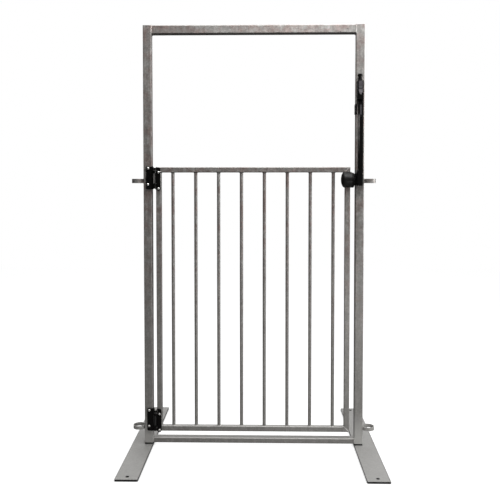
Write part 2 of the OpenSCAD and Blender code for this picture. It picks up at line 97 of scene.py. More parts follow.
lamps = {
    # place, what it looks at, size in metres, power in watts
    "keyLamp": ((0.4, -1.1, 2.75), (0.2, 0, 1.8), (0.4, 0.4), 15),
    "sideLamp": ((3.2, -0.35, 1.9), (-0.2, 0, 1.2), (1.0, 2.0), 108),
    "topLamp": ((0.2, -0.6, 4.2), (0, 0, 0), (2.0, 2.0), 80),
    "frontTopLamp": ((0.4, -2.2, 3.8), (0, 0, 0.3), (1.0, 1.0), 22),
    "lowLamp": ((0.6, -1.8, 0.4), (0.3, 0, 0.3), (0.8, 0.4), 7),
    "backLamp": ((-0.4, 3.2, 3.4), (0, 0, 1.0), (2.5, 2.0), 27),
}
for lampName, (place, target, size, power) in lamps.items():
    lampData = bpy.data.lights.new(lampName, "AREA")
    lampData.shape = "RECTANGLE"
    lampData.size, lampData.size_y = size
    lampData.energy = power
    lamp = newObject(lampName, lampData)
    lamp.location = place
    lamp.rotation_mode = "QUATERNION"
    lamp.rotation_quaternion = (Vector(target) - Vector(place)).to_track_quat("-Z", "Y")
    lamp.visible_camera = False

studio = {
    "ambient": 0.01,  # fill from all round
    "glossLow": 0.0,  # how bright metal sees the studio near the horizon
    "glossHigh": 1.3,  # and the white ceiling
    "horizon": 0.1,  # upward part of the direction at which the ceiling begins to show
    "ceiling": 0.8,  # and at which it is in full view
    "floorBounce": "#acacac",  # the floor as the object sees it
    "floorShade": "#808080",  # the part of the visible floor that takes shadows
    "floorGlow": 0.985,  # the part that is lit evenly
    "contact": 0.012,  # reach of the contact shadow, metres
    "contactSamples": 8,
    "floorSize": 14.0,
}
white = (1, 1, 1, 1)
world = bpy.data.worlds.new("studio")
world.use_nodes = True
bpy.context.scene.world = world
tree = world.node_tree
tree.nodes.clear()
ray = addNode(tree, "ShaderNodeLightPath").outputs
direct = addNode(tree, "ShaderNodeMath", {0: ray["Is Camera Ray"], 1: ray["Is Transmission Ray"]},
                 operation="MAXIMUM").outputs[0]
toward = addNode(tree, "ShaderNodeTexCoord").outputs["Generated"]
upPart = addNode(tree, "ShaderNodeSeparateXYZ", {"Vector": toward}).outputs["Z"]
gloss = addNode(tree, "ShaderNodeMapRange", {
    "Value": upPart, "From Min": studio["horizon"], "From Max": studio["ceiling"],
    "To Min": studio["glossLow"], "To Max": studio["glossHigh"]}).outputs["Result"]
indirect = addNode(tree, "ShaderNodeMix", {
    "Factor": ray["Is Glossy Ray"], "A": studio["ambient"], "B": gloss}).outputs["Result"]
brightness = addNode(tree, "ShaderNodeMix", {"Factor": direct, "A": indirect, "B": 1.0}).outputs["Result"]
backdrop = addNode(tree, "ShaderNodeBackground", {"Color": white, "Strength": brightness}).outputs[0]
addNode(tree, "ShaderNodeOutputWorld", {"Surface": backdrop})

floorMaterial, tree = newMaterial("white floor")
ray = addNode(tree, "ShaderNodeLightPath").outputs
bounce = addNode(tree, "ShaderNodeBsdfDiffuse", {"Color": linear(studio["floorBounce"])}).outputs[0]
shade = addNode(tree, "ShaderNodeBsdfDiffuse", {"Color": linear(studio["floorShade"])}).outputs[0]
contact = addNode(tree, "ShaderNodeAmbientOcclusion", {"Distance": studio["contact"]},
                  samples=studio["contactSamples"]).outputs["AO"]
glowLevel = addNode(tree, "ShaderNodeMath", {0: contact, 1: studio["floorGlow"]},
                    operation="MULTIPLY").outputs[0]
glow = addNode(tree, "ShaderNodeEmission", {"Color": white, "Strength": glowLevel}).outputs[0]
seen = addNode(tree, "ShaderNodeAddShader", {0: shade, 1: glow}).outputs[0]
surface = addNode(tree, "ShaderNodeMixShader", {0: ray["Is Camera Ray"], 1: bounce, 2: seen}).outputs[0]
addNode(tree, "ShaderNodeOutputMaterial", {"Surface": surface})
half = studio["floorSize"] / 2
floorMesh = bpy.data.meshes.new("floor")
corners = [(-half, -half, 0), (half, -half, 0), (half, half, 0), (-half, half, 0)]
floorMesh.from_pydata(corners, [], [(0, 1, 2, 3)])
floorMesh.materials.append(floorMaterial)
newObject("floor", floorMesh)
print("camera, lamps and floor set")


# Materials

zincLook = {
    # widths of the patterns in mm
    "cloud": 20, "film": 70, "run": 9, "spangle": 9, "peel": 2.8,
    "runStretch": 0.12,  # how fast the runs change along the height, beside across
    "runShare": 0.35, "spangleShare": 0.12,  # their strength beside the clouds
    "darkTone": 0.52, "middleTone": 0.72, "paleTone": 0.94,  # tones that get the three colours
    "evenBelow": 0.4, "mottledAbove": 1.1,  # heights in metres
    "evenStrength": 0.5,  # what is left of the mottling low down
    "filmColour": "#e8d3d0", "filmFrom": 0.44, "filmFull": 0.6,
    "metal": 0.5,  # dull zinc carries an oxide skin, so it is only half metallic
    "smoother": 0.1, "rougher": 0.12,  # how far the clouds change the roughness
    "peelStrength": 0.35, "peelDepth": 0.4,  # depth in mm
    # each layer below: its colour, where it starts, where it is strongest, and how strong it is there
    # painted shade on faces that look down
    "paintedUnderShade": ("#2c2a29", -0.1, -0.45, 0.75),  # on faces that look down
    # painted light on faces that look up
    "paintedToplight": ("#b4b3b0", 0.25, 0.75, 0.5),  # on faces that look up
    # painted light by height, standing in for the floor's bounce
    "bounceLight": ("#b6b5b2", 0.17, 0.05, 0.8),  # by height in metres
    "bounceLightOutside": 0.484,  # metres from the middle, which leaves the threshold bar out
    # painted shade on upright faces
    "paintedUprightShade": (0.7, 0.2, 1.0),  # on upright faces
    "edgeBand": (0.999, 0.97, 0.8),  # by the cosine between the rounded and the flat normal
    "edgeBandWidth": 6.0,  # mm
}


def layOver(tree, below, level, colour, start, full, most, limit=None):
    # lays a colour over the one below it as the level goes from start to full
    share = addNode(tree, "ShaderNodeMapRange", {
        "Value": level, "From Min": start, "From Max": full, "To Max": most}).outputs["Result"]
    if limit is not None:
        share = addNode(tree, "ShaderNodeMath", {0: limit, 1: share}, operation="MULTIPLY").outputs[0]
    return addNode(tree, "ShaderNodeMix", {"Factor": share, "A": below, "B": linear(colour)},
                   data_type="RGBA").outputs["Result"]


def galvanisedSteel(name, colours, roughness, edge=None, bounceLitEnds=False):
    # hot-dip zinc on steel, gone dull: cloudy patches, runs down the length, a faint spangle,
    # and an orange peel that breaks up the gloss
    look = zincLook
    material, tree = newMaterial(name)
    coordinates = addNode(tree, "ShaderNodeTexCoord").outputs
    place = coordinates["Object"]
    clouds = addNode(tree, "ShaderNodeTexNoise", {
        "Vector": place, "Scale": 1 / (look["cloud"] * mm), "Detail": 6.0, "Roughness": 0.95}).outputs["Fac"]
    runPlace = addNode(tree, "ShaderNodeMapping", {"Vector": place, "Scale": (1.0, 1.0, look["runStretch"])})
    runs = addNode(tree, "ShaderNodeTexNoise", {
        "Vector": runPlace.outputs[0], "Scale": 1 / (look["run"] * mm), "Detail": 3.0}).outputs["Fac"]
    spangle = addNode(tree, "ShaderNodeTexVoronoi", {
        "Vector": place, "Scale": 1 / (look["spangle"] * mm), "Randomness": 1.0}).outputs["Color"]
    grain = addNode(tree, "ShaderNodeSeparateColor", {"Color": spangle}).outputs[0]
    withRuns = addNode(tree, "ShaderNodeMath", {0: runs, 1: look["runShare"], 2: clouds},
                       operation="MULTIPLY_ADD").outputs[0]
    tone = addNode(tree, "ShaderNodeMath", {0: grain, 1: look["spangleShare"], 2: withRuns},
                   operation="MULTIPLY_ADD").outputs[0]
    # low down the zinc is cleaner and more even
    apart = addNode(tree, "ShaderNodeSeparateXYZ", {"Vector": place}).outputs
    high = addNode(tree, "ShaderNodeMapRange", {
        "Value": apart["Z"], "From Min": look["evenBelow"],
        "From Max": look["mottledAbove"]}).outputs["Result"]
    strength = addNode(tree, "ShaderNodeMath", {
        0: high, 1: 1 - look["evenStrength"], 2: look["evenStrength"]}, operation="MULTIPLY_ADD").outputs[0]
    fromMiddle = addNode(tree, "ShaderNodeMath", {0: tone, 1: look["middleTone"]},
                         operation="SUBTRACT").outputs[0]
    calmed = addNode(tree, "ShaderNodeMath", {0: fromMiddle, 1: strength, 2: look["middleTone"]},
                     operation="MULTIPLY_ADD").outputs[0]
    ramp = addNode(tree, "ShaderNodeValToRGB", {"Fac": calmed})
    stops = ramp.color_ramp.elements
    stops[0].position, stops[1].position = look["darkTone"], look["paleTone"]
    stops[0].color, stops[1].color = linear(colours[0]), linear(colours[2])
    stops.new(look["middleTone"]).color = linear(colours[1])
    # a thin brownish film in patches, which rain has kept off the lower half
    tint = addNode(tree, "ShaderNodeTexNoise", {
        "Vector": place, "Scale": 1 / (look["film"] * mm), "Detail": 7.0, "Roughness": 0.75}).outputs["Fac"]
    browned = addNode(tree, "ShaderNodeMapRange", {
        "Value": tint, "From Min": look["filmFrom"], "From Max": look["filmFull"]}).outputs["Result"]
    filmed = addNode(tree, "ShaderNodeMath", {0: high, 1: browned}, operation="MULTIPLY").outputs[0]
    colour = addNode(tree, "ShaderNodeMix", {
        "Factor": filmed, "A": ramp.outputs["Color"], "B": linear(look["filmColour"])},
        data_type="RGBA", blend_type="MULTIPLY").outputs["Result"]
    # painted shade: faces that look down are darkened, standing in for the shade under the tubes
    upward = addNode(tree, "ShaderNodeSeparateXYZ", {"Vector": coordinates["Normal"]}).outputs["Z"]
    colour = layOver(tree, colour, upward, *look["paintedUnderShade"])
    if not edge:
        # painted light: faces that look up are lightened, standing in for the light from above
        colour = layOver(tree, colour, upward, *look["paintedToplight"])
    if bounceLitEnds:
        # painted light: the lower ends of the posts are lightened towards the floor, standing in for light
        # bounced up from it
        reach = addNode(tree, "ShaderNodeMath", {0: apart["X"]}, operation="ABSOLUTE").outputs[0]
        onPost = addNode(tree, "ShaderNodeMath", {0: reach, 1: look["bounceLightOutside"]},
                         operation="GREATER_THAN").outputs[0]
        colour = layOver(tree, colour, apart["Z"], *look["bounceLight"], limit=onPost)
    if edge:
        # painted shade: upright faces are darkened, standing in for the shade on the bar's sides, and a band
        # along the edges darkens too
        upright = addNode(tree, "ShaderNodeMath", {0: upward}, operation="ABSOLUTE").outputs[0]
        colour = layOver(tree, colour, upright, edge, *look["paintedUprightShade"])
        # a band along the edges, where the rounded normal turns from the flat one, darkens to the same colour
        rounded = addNode(tree, "ShaderNodeBevel", {"Radius": look["edgeBandWidth"] * mm}, samples=4).outputs[0]
        flat = addNode(tree, "ShaderNodeNewGeometry").outputs["Normal"]
        same = addNode(tree, "ShaderNodeVectorMath", {0: rounded, 1: flat},
                       operation="DOT_PRODUCT").outputs["Value"]
        colour = layOver(tree, colour, same, edge, *look["edgeBand"])
    rough = addNode(tree, "ShaderNodeMapRange", {
        "Value": clouds, "To Min": roughness - look["smoother"], "To Max": roughness + look["rougher"]})
    peel = addNode(tree, "ShaderNodeTexNoise", {
        "Vector": place, "Scale": 1 / (look["peel"] * mm), "Detail": 3.0})
    bump = addNode(tree, "ShaderNodeBump", {
        "Height": peel.outputs["Fac"], "Strength": look["peelStrength"], "Distance": look["peelDepth"] * mm})
    shader = addNode(tree, "ShaderNodeBsdfPrincipled", {
        "Base Color": colour, "Metallic": look["metal"], "Roughness": rough.outputs["Result"],
        "Normal": bump.outputs[0]})
    addNode(tree, "ShaderNodeOutputMaterial", {"Surface": shader.outputs[0]})
    return material


nylonLook = {
    "grain": 1.1, "grainDepth": 0.3, "wear": 14,  # mm
    "grainStrength": 0.2,
    "wornFrom": 0.3, "wornFull": 0.7,
    "smoother": 0.06, "rougher": 0.1,  # how far wear changes the roughness
}


def mouldedNylon(name, colour, gloss, roughness, paintedSheen=None):
    # glass-filled nylon from a spark-eroded mould: near black, with a fine dull grain
    look = nylonLook
    material, tree = newMaterial(name)
    place = addNode(tree, "ShaderNodeTexCoord").outputs["Object"]
    grain = addNode(tree, "ShaderNodeTexNoise", {
        "Vector": place, "Scale": 1 / (look["grain"] * mm), "Detail": 2.0})
    wear = addNode(tree, "ShaderNodeTexNoise", {
        "Vector": place, "Scale": 1 / (look["wear"] * mm), "Detail": 4.0}).outputs["Fac"]
    rough = addNode(tree, "ShaderNodeMapRange", {
        "Value": wear, "From Min": look["wornFrom"], "From Max": look["wornFull"],
        "To Min": roughness - look["smoother"], "To Max": roughness + look["rougher"]})
    bump = addNode(tree, "ShaderNodeBump", {
        "Height": grain.outputs["Fac"], "Strength": look["grainStrength"],
        "Distance": look["grainDepth"] * mm})
    base = linear(colour)
    if paintedSheen:
        # painted reflection: a grey streak along one upright edge, fading downward, standing in for the
        # studio's reflection on the rounded edge
        apart = addNode(tree, "ShaderNodeSeparateXYZ", {"Vector": place}).outputs
        edge, top = paintedSheen["edge"], paintedSheen["top"]
        bare = None
        for level, start, full, least in (
                (apart["X"], edge * mm, (edge - paintedSheen["width"]) * mm, 0.0),
                (apart["Z"], paintedSheen["fade"] * mm, top * mm, 0.0),
                (apart["Z"], (top + paintedSheen["above"]) * mm, (top - paintedSheen["below"]) * mm, 0.0),
                (wear, paintedSheen["patchFrom"], paintedSheen["patchFull"], paintedSheen["least"])):
            share = addNode(tree, "ShaderNodeMapRange", {
                "Value": level, "From Min": start, "From Max": full, "To Min": least}).outputs["Result"]
            bare = share if bare is None else addNode(
                tree, "ShaderNodeMath", {0: bare, 1: share}, operation="MULTIPLY").outputs[0]
        base = addNode(tree, "ShaderNodeMix", {"Factor": bare, "A": base, "B": linear(paintedSheen["colour"])},
                       data_type="RGBA").outputs["Result"]
    shader = addNode(tree, "ShaderNodeBsdfPrincipled", {
        "Base Color": base, "Roughness": rough.outputs["Result"], "Specular IOR Level": gloss,
        "Normal": bump.outputs[0]})
    addNode(tree, "ShaderNodeOutputMaterial", {"Surface": shader.outputs[0]})
    return material


platingLook = {"cloud": 3, "smoother": 0.06, "rougher": 0.08}  # cloud in mm


def platedZinc(name, colour, roughness):
    # turned steel with a thin bright zinc plating, slightly clouded
    look = platingLook
    material, tree = newMaterial(name)
    place = addNode(tree, "ShaderNodeTexCoord").outputs["Object"]
    cloud = addNode(tree, "ShaderNodeTexNoise", {
        "Vector": place, "Scale": 1 / (look["cloud"] * mm), "Detail": 2.0})
    rough = addNode(tree, "ShaderNodeMapRange", {
        "Value": cloud.outputs["Fac"],
        "To Min": roughness - look["smoother"], "To Max": roughness + look["rougher"]})
    shader = addNode(tree, "ShaderNodeBsdfPrincipled", {
        "Base Color": linear(colour), "Metallic": 1.0, "Roughness": rough.outputs["Result"]})
    addNode(tree, "ShaderNodeOutputMaterial", {"Surface": shader.outputs[0]})
    return material


# painted reflection on the riser's rounded left edge
riserPaintedSheen = {
    # mm: x of the riser's edge, reach across it, height of the streak's top and of its faded end,
    # and how far the soft top reaches above and below its own height
    "edge": 500.0, "width": 4.0, "top": 1592, "fade": 1400, "above": 4, "below": 14,
    "patchFrom": 0.35, "patchFull": 0.6, "least": 0.35,  # the wear noise breaks it up
    "colour": "#8c8987",
}
finishes = {
    "galvanised_steel": galvanisedSteel("galvanised tube", ("#6a6866", "#807e7b", "#a09e9b"), roughness=0.5,
                                       bounceLitEnds=True),
    # its dark colour below is the painted shade for the bar's upright faces and the band along its edges
    "foot_steel": galvanisedSteel("galvanised flat bar", ("#8a8987", "#979694", "#a4a3a1"), roughness=0.55,
                                  edge="#1c1b1b"),
    # painted shade: the spigots are near black, standing in for the shade in the gap under each post
    "spigot_steel": galvanisedSteel("spigot steel, painted shade", ("#0c0c0c", "#121212", "#1c1c1c"), roughness=0.6),
    "hinge_polymer": mouldedNylon("hinge nylon", "#040303", gloss=0.1, roughness=0.45),
    "latch_polymer": mouldedNylon("latch nylon", "#040303", gloss=0.08, roughness=0.5, paintedSheen=riserPaintedSheen),
    "knob_polymer": mouldedNylon("knob nylon", "#030202", gloss=0.1, roughness=0.48),
    "panel_polymer": mouldedNylon("panel nylon", "#4a464a", gloss=0.3, roughness=0.45),
    "lock_steel": platedZinc("dark turned steel", "#707072", roughness=0.4),
    "bright_steel": platedZinc("bright zinc", "#cfcdca", roughness=0.32),
}
slotOf = {entry["node"]: entry["material_slot"] for entry in frame["record"]["subparts"]}
for nodeName, nodeObject in frame["nodes"].items():
    nodeObject.material_slots[0].material = finishes[slotOf[nodeName]]
drumNylon = mouldedNylon("striker nylon", "#070606", gloss=0.2, roughness=0.42)
frame["nodes"]["striker_drum"].material_slots[0].material = drumNylon
# the beads run paler than the tube, up to near white: their own zinc colour, with painted glints in the
# palest tone
weldZincAndGlints = galvanisedSteel("galvanised weld, partly painted glints", ("#7c7a78", "#a5a3a0", "#dcdad6"), roughness=0.36)
stripNylon = mouldedNylon("grey strip nylon", "#3e3c40", gloss=0.2, roughness=0.5)
print("materials set")


# Pieces grown by Geometry Nodes

def newGrowth(name, inputs):
    # an empty node group with the geometry going in and out, and its named sizes
    tree = bpy.data.node_groups.new(name, "GeometryNodeTree")
    tree.interface.new_socket("Geometry", in_out="INPUT", socket_type="NodeSocketGeometry")
    tree.interface.new_socket("Geometry", in_out="OUTPUT", socket_type="NodeSocketGeometry")
    for inputName, value in inputs.items():
        kind = "NodeSocketInt" if isinstance(value, int) else "NodeSocketFloat"
        tree.interface.new_socket(inputName, in_out="INPUT", socket_type=kind).default_value = value
    return tree, tree.nodes.new("NodeGroupInput").outputs


def finishGrowth(tree, geometry, material):
    real = addNode(tree, "GeometryNodeRealizeInstances", {"Geometry": geometry}).outputs[0]
    painted = addNode(tree, "GeometryNodeSetMaterial", {"Geometry": real, "Material": material}).outputs[0]
    addNode(tree, "NodeGroupOutput", {"Geometry": painted})


def grow(name, seedMesh, tree, sizes, body):
    # runs the node group on the seed mesh and keeps the result as a plain mesh that rides on the body
    piece = newObject(name, seedMesh)
    modifier = piece.modifiers.new("growth", "NODES")
    modifier.node_group = tree
    for item in tree.interface.items_tree:
        if item.in_out == "INPUT" and item.name in sizes:
            modifier[item.identifier] = sizes[item.name]
    grown = bpy.data.meshes.new_from_object(piece.evaluated_get(bpy.context.evaluated_depsgraph_get()))
    piece.modifiers.clear()
    piece.data = grown
    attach(piece, body)
    print(name, len(grown.polygons), "faces")


panHead = {"sides": 28, "rings": 5, "rim": 0.35}  # the rim's part of the height, on each side of the seat


def panScrewTree(name, material):
    # pan head with a cross recess, set on each point and turned to its facing vector
    tree, given = newGrowth(name, {
        "Width": 0.01, "Height": 0.003, "Recess Length": 0.005, "Recess Width": 0.001, "Recess Depth": 0.002,
        "Seed": 1})
    radius = addNode(tree, "ShaderNodeMath", {0: given["Width"], 1: 0.5}, operation="MULTIPLY").outputs[0]
    rim = addNode(tree, "ShaderNodeMath", {0: given["Height"], 1: 2 * panHead["rim"]},
                  operation="MULTIPLY").outputs[0]
    head = addNode(tree, "GeometryNodeMeshCylinder", {
        "Vertices": panHead["sides"], "Side Segments": 1, "Fill Segments": panHead["rings"],
        "Radius": radius, "Depth": rim}, fill_type="TRIANGLE_FAN").outputs["Mesh"]
    # the top is raised most in the middle, and not at all at its rim
    position = addNode(tree, "GeometryNodeInputPosition").outputs[0]
    flat = addNode(tree, "ShaderNodeVectorMath", {0: position, 1: (1, 1, 0)}, operation="MULTIPLY").outputs[0]
    out = addNode(tree, "ShaderNodeVectorMath", {0: flat}, operation="LENGTH").outputs["Value"]
    share = addNode(tree, "ShaderNodeMath", {0: out, 1: radius}, operation="DIVIDE").outputs[0]
    square = addNode(tree, "ShaderNodeMath", {0: share, 1: 2.0}, operation="POWER").outputs[0]
    crown = addNode(tree, "ShaderNodeMath", {0: 1.0, 1: square}, operation="SUBTRACT").outputs[0]
    domeHeight = addNode(tree, "ShaderNodeMath", {0: given["Height"], 1: 1 - panHead["rim"]},
                         operation="MULTIPLY").outputs[0]
    rise = addNode(tree, "ShaderNodeMath", {0: crown, 1: domeHeight}, operation="MULTIPLY").outputs[0]
    lift = addNode(tree, "ShaderNodeCombineXYZ", {"Z": rise}).outputs[0]
    heightNow = addNode(tree, "ShaderNodeSeparateXYZ", {"Vector": position}).outputs["Z"]
    onTop = addNode(tree, "FunctionNodeCompare", {"A": heightNow, "B": 0.0}).outputs[0]
    head = addNode(tree, "GeometryNodeSetPosition", {
        "Geometry": head, "Selection": onTop, "Offset": lift}).outputs[0]
    # two crossed bars cut the recess
    deep = addNode(tree, "ShaderNodeMath", {0: given["Recess Depth"], 1: 2.0},
                   operation="MULTIPLY").outputs[0]
    top = addNode(tree, "ShaderNodeCombineXYZ", {"Z": given["Height"]}).outputs[0]
    for across, along in (("Recess Length", "Recess Width"), ("Recess Width", "Recess Length")):
        size = addNode(tree, "ShaderNodeCombineXYZ", {
            "X": given[across], "Y": given[along], "Z": deep}).outputs[0]
        bar = addNode(tree, "GeometryNodeMeshCube", {"Size": size}).outputs["Mesh"]
        arm = addNode(tree, "GeometryNodeTransform", {"Geometry": bar, "Translation": top}).outputs[0]
        head = addNode(tree, "GeometryNodeMeshBoolean", {"Mesh 1": head, "Mesh 2": arm},
                       solver="EXACT").outputs["Mesh"]
    # each screw is driven to an angle of its own
    facing = addNode(tree, "GeometryNodeInputNamedAttribute", {"Name": "facing"},
                     data_type="FLOAT_VECTOR").outputs[0]
    aimed = addNode(tree, "FunctionNodeAlignRotationToVector", {"Vector": facing}, axis="Z").outputs[0]
    angle = addNode(tree, "FunctionNodeRandomValue", {
        "Max": math.pi / 2, "Seed": given["Seed"]}).outputs["Value"]
    twist = addNode(tree, "FunctionNodeAxisAngleToRotation", {"Axis": (0, 0, 1), "Angle": angle}).outputs[0]
    turned = addNode(tree, "FunctionNodeRotateRotation", {"Rotation": aimed, "Rotate By": twist},
                     rotation_space="LOCAL").outputs[0]
    placed = addNode(tree, "GeometryNodeInstanceOnPoints", {
        "Points": given["Geometry"], "Instance": head, "Rotation": turned}).outputs[0]
    finishGrowth(tree, placed, material)
    return tree


def ribTree(name, material):
    # upright block, set on each point and turned to its facing vector
    tree, given = newGrowth(name, {"Width": 0.001, "Height": 0.006, "Depth": 0.001})
    size = addNode(tree, "ShaderNodeCombineXYZ", {
        "X": given["Depth"], "Y": given["Width"], "Z": given["Height"]}).outputs[0]
    block = addNode(tree, "GeometryNodeMeshCube", {"Size": size}).outputs["Mesh"]
    facing = addNode(tree, "GeometryNodeInputNamedAttribute", {"Name": "facing"},
                     data_type="FLOAT_VECTOR").outputs[0]
    aimed = addNode(tree, "FunctionNodeAlignRotationToVector", {"Vector": facing},
                    axis="X", pivot_axis="Z").outputs[0]
    placed = addNode(tree, "GeometryNodeInstanceOnPoints", {
        "Points": given["Geometry"], "Instance": block, "Rotation": aimed}).outputs[0]
    finishGrowth(tree, placed, material)
    return tree


def pointMesh(name, points):
    # points in millimetres, each with the way its screw or rib faces
    mesh = bpy.data.meshes.new(name)
    mesh.from_pydata([tuple(c * mm for c in place) for place, way in points], [], [])
    facing = mesh.attributes.new("facing", "FLOAT_VECTOR", "POINT")
    for item, (place, way) in zip(facing.data, points):
        item.vector = way
    return mesh


hingeScrews = {
    "sizes": {"Width": 11.2 * mm, "Height": 3.5 * mm, "Recess Length": 6 * mm, "Recess Width": 1.5 * mm,
              "Recess Depth": 2.2 * mm, "Seed": 4},
    "feet": (72.5, 1236),  # lowest point of the two leaf plates
    "seat": -76.5,  # y of the screw seats
    "postX": -502, "postZ": (26, 103),
    "leafX": -452.5, "leafZ": (7, 84),
}
latchScrews = {
    "sizes": {"Width": 9 * mm, "Height": 2.6 * mm, "Recess Length": 5 * mm, "Recess Width": 1.3 * mm,
              "Recess Depth": 1.7 * mm, "Seed": 9},
    "flangeX": 482, "bracketY": -52.5, "bracketZ": (1603.5, 1632.5),
    "bodyY": -50, "bodyZ": (1270, 1302),
}
riserScrew = {
    "sizes": {"Width": 4.9 * mm, "Height": 1.6 * mm, "Recess Length": 2.8 * mm, "Recess Width": 0.8 * mm,
              "Recess Depth": 1 * mm, "Seed": 2},
    "place": (503.5, -94.6, 1582),
}
towardFront, towardOpening = (0, -1, 0), (-1, 0, 0)
screwTree = panScrewTree("pan screw", finishes["bright_steel"])
for pieceName, body, side in (("post_hinge_screws", "frame", "post"), ("leaf_hinge_screws", "leaf", "leaf")):
    points = [((hingeScrews[side + "X"], hingeScrews["seat"], foot + z), towardFront)
              for foot in hingeScrews["feet"] for z in hingeScrews[side + "Z"]]
    grow(pieceName, pointMesh(pieceName, points), screwTree, hingeScrews["sizes"], body)
darkScrewTree = panScrewTree("dark pan screw", finishes["lock_steel"])
points = [((latchScrews["flangeX"], latchScrews[side + "Y"], z), towardOpening)
          for side in ("bracket", "body") for z in latchScrews[side + "Z"]]
grow("latch_flange_screws", pointMesh("latch_flange_screws", points), darkScrewTree, latchScrews["sizes"],
     "frame")
grow("riser_screw", pointMesh("riser_screw", [(riserScrew["place"], towardFront)]), darkScrewTree,
     riserScrew["sizes"], "frame")


# Weld beads along the joints

beadLook = {
    "step": 0.34,  # length of a facet beside the ripple spacing
    "swelling": 7,  # mm, length over which the width varies
    "sides": 10,
}


def weldBeadTree(name, material):
    # a rippled bead with an uneven width along every edge of the seed mesh
    tree, given = newGrowth(name, {
        "Bead Radius": 0.002, "Ripple Spacing": 0.002, "Ripple Height": 0.12, "Unevenness": 0.35, "Seed": 1})
    curve = addNode(tree, "GeometryNodeMeshToCurve", {"Mesh": given["Geometry"]}).outputs[0]
    step = addNode(tree, "ShaderNodeMath", {0: given["Ripple Spacing"], 1: beadLook["step"]},
                   operation="MULTIPLY").outputs[0]
    fine = addNode(tree, "GeometryNodeResampleCurve", {"Curve": curve, "Length": step},
                   mode="LENGTH").outputs[0]
    length = addNode(tree, "GeometryNodeSplineParameter").outputs["Length"]
    turns = addNode(tree, "ShaderNodeMath", {0: length, 1: given["Ripple Spacing"]},
                    operation="DIVIDE").outputs[0]
    phase = addNode(tree, "ShaderNodeMath", {0: turns, 1: math.tau}, operation="MULTIPLY").outputs[0]
    wave = addNode(tree, "ShaderNodeMath", {0: phase}, operation="SINE").outputs[0]
    ripple = addNode(tree, "ShaderNodeMath", {0: wave, 1: given["Ripple Height"], 2: 1.0},
                     operation="MULTIPLY_ADD").outputs[0]
    noise = addNode(tree, "ShaderNodeTexNoise", {
        "W": given["Seed"], "Scale": 1 / (beadLook["swelling"] * mm), "Detail": 1.0},
        noise_dimensions="4D").outputs["Fac"]
    centred = addNode(tree, "ShaderNodeMath", {0: noise, 1: 0.5}, operation="SUBTRACT").outputs[0]
    width = addNode(tree, "ShaderNodeMath", {0: centred, 1: given["Unevenness"], 2: ripple},
                    operation="MULTIPLY_ADD").outputs[0]
    radius = addNode(tree, "ShaderNodeMath", {0: width, 1: given["Bead Radius"]},
                     operation="MULTIPLY").outputs[0]
    section = addNode(tree, "GeometryNodeCurvePrimitiveCircle", {
        "Resolution": beadLook["sides"], "Radius": 1.0}).outputs["Curve"]
    bead = addNode(tree, "GeometryNodeCurveToMesh", {
        "Curve": fine, "Profile Curve": section, "Scale": radius, "Fill Caps": True}).outputs[0]
    smooth = addNode(tree, "GeometryNodeSetShadeSmooth", {"Geometry": bead}).outputs[0]
    finishGrowth(tree, smooth, material)
    return tree


def pathMesh(name, paths):
    # open or closed paths in millimetres, as (closed, points)
    mesh = bpy.data.meshes.new(name)
    corners, edges = [], []
    for closed, points in paths:
        first = len(corners)
        corners += [tuple(c * mm for c in point) for point in points]
        edges += [(first + i, first + i + 1) for i in range(len(points) - 1)]
        if closed:
            edges.append((len(corners) - 1, first))
    mesh.from_pydata(corners, edges, [])
    return mesh


def straightPath(start, end):
    return (False, [start, end])


def circlePath(centre, radius, steps=24):
    x, y, z = centre
    angles = [math.tau * i / steps for i in range(steps)]
    return (True, [(x + radius * math.cos(angle), y + radius * math.sin(angle), z) for angle in angles])


def boxOf(node):
    # lowest and highest corner in millimetres
    return [[c / mm for c in corner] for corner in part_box(node)]


frameWelds = {
    "sizes": {"Bead Radius": 2.8 * mm, "Ripple Spacing": 2.6 * mm, "Seed": 5},
    # in mm: how far the beads sink behind a face, and where they start and end beside the corners
    "barSunk": 1.2, "barTopSunk": 0.8, "barStart": 1, "barEnd": 3,
    "sillSunk": 1, "sillGap": 2,
    "ringReach": 8.5, "ringAcross": 8, "ringEnd": 1,
}
leafWelds = {
    "sizes": {"Bead Radius": 2.2 * mm, "Ripple Spacing": 2.2 * mm, "Seed": 8},
    "pales": 8, "paleCircle": 8.6,  # radius of the bead's path, mm
    "tube": 25, "mitreSunk": 1.4, "gap": 2,  # mm
    "mitreStart": 0.12,  # part of the mitre left bare at the outer corner
}
frontY, backY = boxOf("left_post")[0][1], boxOf("left_post")[1][1]
leftInner, rightInner = boxOf("left_post")[1][0], boxOf("right_post")[0][0]
barUnder, barTop = boxOf("top_bar")[0][2], boxOf("top_bar")[1][2]
sillUnder, sillTop = boxOf("threshold_bar")[0][2], boxOf("threshold_bar")[1][2]
leafLow, leafHigh = boxOf("leaf_bottom_rail")[0], boxOf("leaf_top_rail")[1]
railTop, railUnder = boxOf("leaf_bottom_rail")[1][2], boxOf("leaf_top_rail")[0][2]
leafFront, leafBack = leafLow[1], leafHigh[1]

